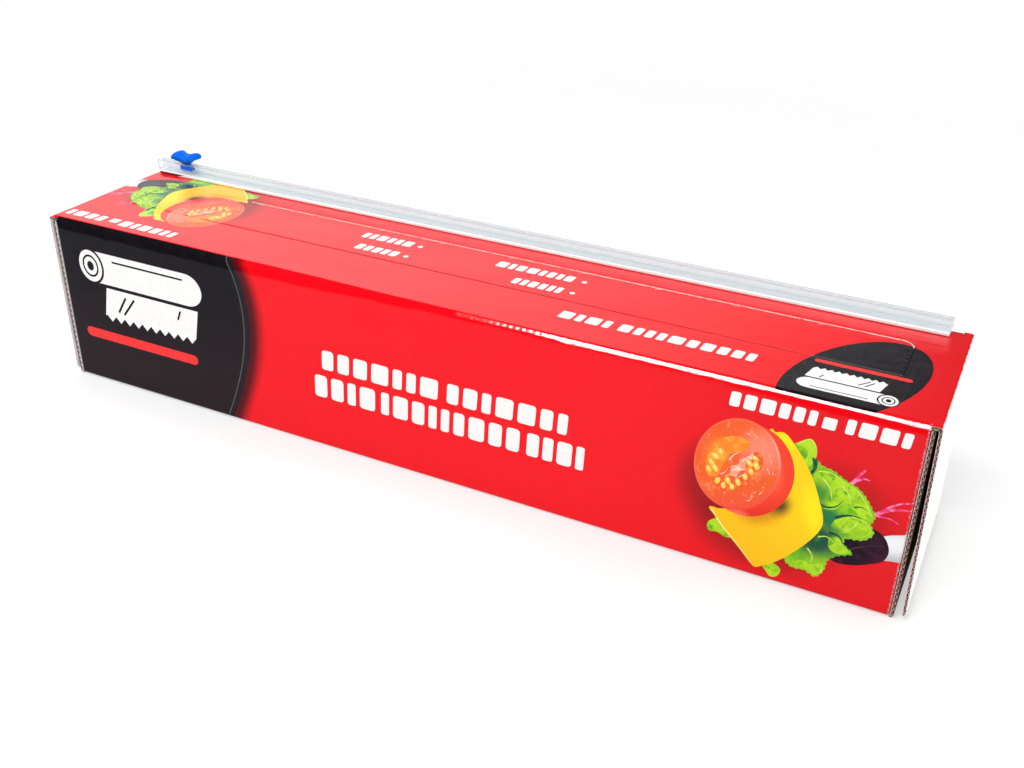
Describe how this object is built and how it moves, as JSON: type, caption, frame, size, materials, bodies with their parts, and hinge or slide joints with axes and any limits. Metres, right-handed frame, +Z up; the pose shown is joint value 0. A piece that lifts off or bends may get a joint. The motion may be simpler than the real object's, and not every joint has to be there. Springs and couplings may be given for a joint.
{
  "type": "cling film dispenser",
  "caption": "Long corrugated carton dispenser for a catering roll of film, with a hinged access panel in its top and a slide cutter in a plastic track.",
  "frame": {"origin": "centre of the carton's underside", "axes": "+X along the roll, the main printed panel faces -Y, the cutter track is on the +Y side of the top, +Z up"},
  "size_m": [0.4681, 0.093, 0.1096],
  "materials": {
    "printed_board": "gloss-varnished printed white-top corrugated paperboard",
    "plain_board": "unprinted corrugated paperboard, white outside and kraft brown inside",
    "adhesive_tape": "white adhesive tape",
    "track_plastic": "translucent extruded plastic",
    "slider_plastic": "blue moulded plastic",
    "blade_steel": "stamped sheet steel",
    "core_paper": "spiral-wound kraft paperboard",
    "film": "wound clear stretch film"
  },
  "bodies": {
    "carton": {"front_panel": "printed_board", "bottom_panel": "printed_board", "rear_panel": "printed_board", "top_panel": "printed_board", "glue_flap": "plain_board", "left_inner_end_flap": "plain_board", "right_inner_end_flap": "plain_board", "left_front_dust_flap": "plain_board", "left_rear_dust_flap": "plain_board", "right_front_dust_flap": "plain_board", "right_rear_dust_flap": "plain_board", "track_tape": "adhesive_tape", "cutter_track": "track_plastic"},
    "access": {"access_flap": "printed_board"},
    "left_end": {"left_outer_end_flap": "plain_board"},
    "right_end": {"right_outer_end_flap": "plain_board"},
    "slider": {"slider_shoe": "slider_plastic", "slider_cap": "slider_plastic", "slider_blade": "blade_steel"},
    "roll": {"core_tube": "core_paper", "film_roll": "film"}
  },
  "joints": [
    {"name": "slider_slide", "type": "slide", "parent": "carton", "child": "slider", "axis": [1, 0, 0], "range_m": [-0.012, 0.426]},
    {"name": "access_hinge", "type": "hinge", "parent": "carton", "child": "access", "pos_m": [0, -0.0096, 0.095], "axis": [1, 0, 0], "range_deg": [0, 165]},
    {"name": "left_flap_hinge", "type": "hinge", "parent": "carton", "child": "left_end", "pos_m": [-0.233, 0, 0.095], "axis": [0, 1, 0], "range_deg": [0, 110]},
    {"name": "right_flap_hinge", "type": "hinge", "parent": "carton", "child": "right_end", "pos_m": [0.233, 0, 0.095], "axis": [0, -1, 0], "range_deg": [-1.2, 110]},
    {"name": "roll_spin", "type": "hinge", "parent": "carton", "child": "roll", "pos_m": [0, 0, 0.0461], "axis": [1, 0, 0], "continuous": true}
  ]
}
